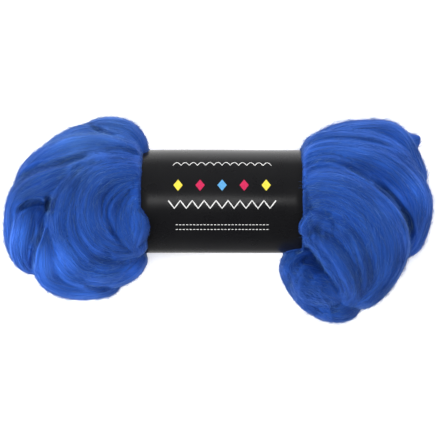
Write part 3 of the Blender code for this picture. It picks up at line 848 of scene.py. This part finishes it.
def make_sleeve():
    """Wrap the card round the oval and on over its own start, with the slight bends of real card."""
    turn = np.linspace(0, 360 + LAP_ANGLE, CARD_STEPS_ROUND + 1)
    rise = np.clip((turn - 360 + LAP_RISE_ANGLE) / LAP_RISE_ANGLE, 0, 1)
    angle = np.radians(LAP_START + turn)
    places = np.linspace(SLEEVE_LEFT, SLEEVE_RIGHT, CARD_STEPS_ALONG + 1)
    x, turned = np.meshgrid(places, angle, indexing="ij")
    points = oval_points(x, turned, (CARD + GLUE_GAP) * rise[None, :] + card_bend(x, turned))
    columns = len(angle)
    faces = []
    for i in range(CARD_STEPS_ALONG):
        for j in range(columns - 1):
            a = i * columns + j
            faces.append((a, a + 1, a + 1 + columns, a + columns))
    sheet = add_mesh("sleeve_sheet", points.reshape(-1, 3), faces)
    thickness = sheet.modifiers.new("card", "SOLIDIFY")
    thickness.thickness = CARD * MM
    thickness.offset = -1
    thickness.use_even_offset = True
    edges = sheet.modifiers.new("edges", "BEVEL")
    edges.width = CARD_EDGE * MM
    edges.segments = 2
    edges.limit_method = "ANGLE"
    edges.angle_limit = math.radians(CARD_EDGE_ANGLE)
    return as_modified(sheet, "sleeve")


def card_bend(x, angle):
    """Give the card's slight bends: how far its face stands in from the plain oval."""
    return CARD_BEND * (soft_noise(x / CARD_BEND_LENGTH, np.cos(angle) * 3 + 40, CARD_BEND_SEED) - 1)


def printed(edge, lift):
    """Give the points of an edge of the print, lifted off the card's bent face."""
    along, round_card = np.asarray(edge, float).T
    angle = math.pi / 2 - round_card / PRINT_RADIUS
    x = PRINT_MIDDLE + along
    return oval_points(x, angle, lift + card_bend(x, angle))


def print_mesh(name, strips, colour):
    """Lay thin closed strips on the card, each from its left and its right edge along and round it."""
    points = []
    faces = []
    low = PRINT_LIFT - PRINT_THICKNESS
    for left, right in strips:
        faces.extend(ring_faces(len(points), len(left), 4))
        corners = ((left, low), (left, PRINT_LIFT), (right, PRINT_LIFT), (right, low))
        ring = np.stack([printed(edge, lift) for edge, lift in corners], axis=1)
        points.extend(ring.reshape(-1, 3))
    made = add_mesh(name, points, faces)
    made.data.shade_flat()
    made.data.materials.append(print_material(name, colour))
    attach(made, "root")


def print_line(path, line):
    """Give a strip of even width along a path."""
    path = np.asarray(path, float)
    along = np.gradient(path, axis=0)
    along /= np.linalg.norm(along, axis=1)[:, None]
    aside = np.stack([-along[:, 1], along[:, 0]], axis=1) * line / 2
    return path + aside, path - aside


def make_print():
    """Print the bands: a zigzag, a row of diamonds, rows of stitches and a row of scallops."""
    for wave in WAVES:
        steps = wave.turns * 2 * wave.corners
        place = np.linspace(0, 1, steps * 2 + 1)
        turn = place * wave.turns
        if wave.corners == 1:
            rise = np.abs((turn % 1) - 0.5) * 2
        else:
            rise = np.abs(np.sin(math.pi * turn))
        path = np.stack([(place - 0.5) * wave.width, wave.at + (rise - 0.5) * wave.height], axis=1)
        print_mesh(wave.name, [print_line(path, wave.line)], PRINT_WHITE)
    for row in DASHES:
        strips = []
        for middle in np.linspace(-row.width / 2, row.width / 2, row.count):
            path = [(middle + part * row.length, row.at) for part in (-0.5, 0.0, 0.5)]
            strips.append(print_line(path, row.line))
        print_mesh(row.name, strips, PRINT_WHITE)
    for shape in DIAMONDS:
        tall = np.linspace(-1, 1, 25)
        wide = ((1 - np.abs(tall)) * 0.98 + 0.02) * shape.half_width
        at = shape.at + tall * shape.half_height
        left = np.stack([shape.place - wide, at], axis=1)
        right = np.stack([shape.place + wide, at], axis=1)
        print_mesh(shape.name, [(left, right)], shape.colour)


def print_material(name, colour):
    """Matt ink, with a faint unevenness."""
    material, tree, shader = new_material(name)
    place = node(tree, "ShaderNodeTexCoord", {})["Object"]
    worn = tuple(PRINT_WORN * value for value in colour[:3]) + (1.0,)
    shown = colour_ramp(tree, noise_value(tree, place, 900.0, 2.0), [(0.3, worn), (0.55, colour)])
    feed(tree, shader, {"Base Color": shown, "Roughness": 0.5})
    return material


def main():
    """Build the pieces, the stage, the lights and the camera."""
    wool = wool_material("wool_skin")
    thread = thread_material("wool_thread")
    pieces = []
    ends = (("left", LEFT_GATHERED, LEFT_FREE), ("right", RIGHT_GATHERED, RIGHT_FREE))
    for name, gathered, free in ends:
        skin, flow, places = make_skin("wool_" + name, gathered, free)
        skin.data.materials.append(wool)
        pieces.append(skin)
        for threads in THREADS + [STRAYS]:
            chooser = np.random.default_rng(threads.seed)
            lay = stray_paths if threads is STRAYS else thread_paths
            paths = lay(threads, skin, flow, places, chooser)
            made = thread_mesh(threads.name + "_" + name, paths, threads, chooser)
            made.data.materials.append(thread)
            pieces.append(made)
    waist = make_waist()
    waist.data.materials.append(wool)
    pieces.append(waist)
    for piece in pieces:
        add_painted_shading_map(piece.data, STRAYS_PALE if piece.name.startswith("strays") else 0.0)
        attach(piece, "root")
        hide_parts("wool_hank")
    sleeve = make_sleeve()
    sleeve.data.materials.append(card_material("card_black"))
    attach(sleeve, "root")
    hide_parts("card_sleeve")
    make_print()
    make_stage()
    make_lights()
    make_camera()


def node(tree, kind, inputs, **settings):
    """Add a node, set its plain properties, feed its inputs and give its outputs."""
    made = tree.nodes.new(kind)
    for key, value in settings.items():
        setattr(made, key, value)
    feed(tree, made, inputs)
    return made.outputs


def feed(tree, made, inputs):
    """Set a node's inputs by name or number, each to a plain value or linked to another node's output."""
    for key, value in inputs.items():
        if isinstance(value, bpy.types.NodeSocket):
            tree.links.new(value, made.inputs[key])
        else:
            made.inputs[key].default_value = value


def new_material(name):
    """Start a node material and give its tree and its shader."""
    material = bpy.data.materials.new(name)
    material.use_nodes = True
    tree = material.node_tree
    return material, tree, tree.nodes["Principled BSDF"]


def colour_ramp(tree, value, stops):
    """Turn a value into a colour through stops of place and colour."""
    ramp = tree.nodes.new("ShaderNodeValToRGB")
    elements = ramp.color_ramp.elements
    while len(elements) < len(stops):
        elements.new(0.5)
    for element, (place, colour) in zip(elements, stops):
        element.position = place
        element.color = colour
    feed(tree, ramp, {"Fac": value})
    return ramp.outputs["Color"]


def parts(tree, vector):
    """Take a vector apart: gives its outputs X, Y and Z."""
    return node(tree, "ShaderNodeSeparateXYZ", {0: vector})


def stored(tree, name):
    """Read a map that is stored with the mesh."""
    return node(tree, "ShaderNodeUVMap", {}, uv_map=name)["UV"]


def map_range(tree, value, source, shown, interpolation="LINEAR"):
    """Carry a value over from one range to another."""
    inputs = dict(zip(("From Min", "From Max", "To Min", "To Max"), source + shown))
    inputs["Value"] = value
    return node(tree, "ShaderNodeMapRange", inputs, interpolation_type=interpolation)["Result"]


def calculate(tree, operation, first, second):
    """Add or multiply two values."""
    return node(tree, "ShaderNodeMath", {0: first, 1: second}, operation=operation)[0]


def noise_value(tree, place, scale, detail):
    """Give even noise over a place."""
    return node(tree, "ShaderNodeTexNoise", {"Vector": place, "Scale": scale, "Detail": detail})["Fac"]


def bump(tree, height, strength, distance):
    """Give the normal of a surface that a height tilts."""
    inputs = {"Height": height, "Strength": strength, "Distance": distance}
    return node(tree, "ShaderNodeBump", inputs)["Normal"]


def with_painted_shading(tree, colour):
    """Make a colour lighter or deeper, and paler, by the map of painted light, shade and sheen."""
    tone = parts(tree, stored(tree, "tone"))
    scaled = node(tree, "ShaderNodeVectorMath", {0: colour, "Scale": tone["X"]}, operation="SCALE")
    inputs = {"Factor": tone["Y"], 6: scaled["Vector"], 7: WOOL_PALE}
    return node(tree, "ShaderNodeMix", inputs, data_type="RGBA")[2]


def streaks(tree, flow, along, around, detail):
    """Noise drawn out along the flow: its scales along and round a loop, for each FLOW_UNIT."""
    place = node(tree, "ShaderNodeMapping", {"Vector": flow, "Scale": (along, around, 1.0)})["Vector"]
    return noise_value(tree, place, 1.0, detail)


def wool_material(name):
    """Combed wool: fine streaks of lighter and deeper blue along the flow, with a silky sheen."""
    material, tree, shader = new_material(name)
    flow = stored(tree, "flow")
    broad = streaks(tree, flow, 3.0, 22.0, 4.0)
    fine = streaks(tree, flow, 5.0, 130.0, 6.0)
    mean = map_range(tree, calculate(tree, "ADD", broad, fine), (0.0, 2.0), (0.0, 1.0))
    colour = colour_ramp(tree, mean, [(0.36, WOOL_DEEP), (0.5, WOOL_MID), (0.66, WOOL_LIGHT)])
    feed(tree, shader, {"Base Color": with_painted_shading(tree, colour), "Normal": bump(tree, fine, 0.5, 0.0006)})
    feed(tree, shader, {"Roughness": 0.62, "Specular IOR Level": 0.15, "Sheen Weight": 0.5})
    feed(tree, shader, {"Sheen Roughness": SHEEN_ROUGHNESS, "Sheen Tint": WOOL_SHEEN})
    return material


def thread_material(name):
    """Single locks and fibres: each a shade of its own between the deep and the light blue."""
    material, tree, shader = new_material(name)
    shade = parts(tree, stored(tree, "flow"))["X"]
    colour = colour_ramp(tree, shade, [(0.0, WOOL_DEEP), (0.5, WOOL_MID), (1.0, WOOL_LIGHT)])
    feed(tree, shader, {"Base Color": with_painted_shading(tree, colour)})
    feed(tree, shader, {"Roughness": 0.55, "Specular IOR Level": 0.2, "Sheen Weight": 0.4})
    feed(tree, shader, {"Sheen Roughness": SHEEN_ROUGHNESS, "Sheen Tint": WOOL_SHEEN})
    return material


def card_material(name):
    """Satin black card: fine paper grain, and a faint mottle in its colour and its gloss."""
    material, tree, shader = new_material(name)
    place = node(tree, "ShaderNodeTexCoord", {})["Object"]
    grain = noise_value(tree, place, 1400.0, 3.0)
    mottle = noise_value(tree, place, 60.0, 5.0)
    colour = colour_ramp(tree, mottle, [(0.35, CARD_BLACK), (0.85, CARD_WORN)])
    roughness = map_range(tree, mottle, (0.0, 1.0), CARD_ROUGHNESS)
    feed(tree, shader, {"Base Color": colour, "Normal": bump(tree, grain, 0.12, 0.0001)})
    feed(tree, shader, {"Roughness": roughness, "Specular IOR Level": 0.22})
    return material


def make_stage():
    """Lay the pale floor."""
    corners = np.array([(-1, -1, 0), (1, -1, 0), (1, 1, 0), (-1, 1, 0)])
    floor = add_mesh("floor", corners * FLOOR_REACH, [(0, 1, 2, 3)])
    material, tree, shader = new_material("floor")
    feed(tree, shader, {"Base Color": FLOOR_WHITE, "Roughness": 0.9, "Specular IOR Level": 0.1})
    feed(tree, shader, {"Emission Color": FLOOR_WHITE, "Emission Strength": FLOOR_GLOW})
    floor.data.materials.append(material)
    floor.visible_glossy = False
    floor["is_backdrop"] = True


def make_lights():
    """Light the hank from a white room, brighter at its horizon, and from a few soft lamps."""
    world = bpy.data.worlds.new("room")
    bpy.context.scene.world = world
    world.use_nodes = True
    tree = world.node_tree
    direction = parts(tree, node(tree, "ShaderNodeTexCoord", {})["Generated"])
    up = direction["Z"]
    back = direction["Y"]
    by_height = map_range(tree, up, (0.1, 0.5), (ROOM_AT_HORIZON, ROOM_OVERHEAD), "SMOOTHSTEP")
    by_side = map_range(tree, back, (-1.0, 1.0), (ROOM_NEAR, ROOM_FAR))
    gloss_by_height = map_range(tree, up, (-0.3, 0.1), (GLOSS_BELOW, GLOSS_ABOVE))
    gloss_by_side = map_range(tree, back, (-0.8, 0.8), (GLOSS_NEAR, GLOSS_FAR))
    room = calculate(tree, "MULTIPLY", by_height, by_side)
    gloss = calculate(tree, "MULTIPLY", gloss_by_height, gloss_by_side)
    is_gloss = node(tree, "ShaderNodeLightPath", {})["Is Glossy Ray"]
    strength = map_range(tree, is_gloss, (0.0, 1.0), (room, gloss))
    feed(tree, tree.nodes["Background"], {"Color": (1.0, 1.0, 1.0, 1.0), "Strength": strength})
    world.cycles.sampling_method = "NONE"
    for lamp in LAMPS:
        light = bpy.data.lights.new(lamp.name, "AREA")
        light.energy = lamp.watts
        light.size = lamp.size
        holder = put(lamp.name, light)
        holder.location = lamp.place
        holder.visible_glossy = lamp.in_gloss
        holder.rotation_euler = (-Vector(lamp.place)).to_track_quat("-Z", "Y").to_euler()
    bpy.context.scene.view_settings.view_transform = "Standard"


def make_camera():
    """Look straight down, with the photo's scale at the hank's middle height."""
    camera = bpy.data.cameras.new("camera")
    camera.lens = LENS
    camera.sensor_width = LENS * PHOTO_WIDTH * METRES_PER_PIXEL / CAMERA_REACH
    holder = put("camera", camera)
    holder.location = CAMERA_AT
    bpy.context.scene.camera = holder


main()

boxes = {"cad": cad_box, "visual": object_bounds()}
{key: [list(corner) for corner in box] for key, box in boxes.items()}
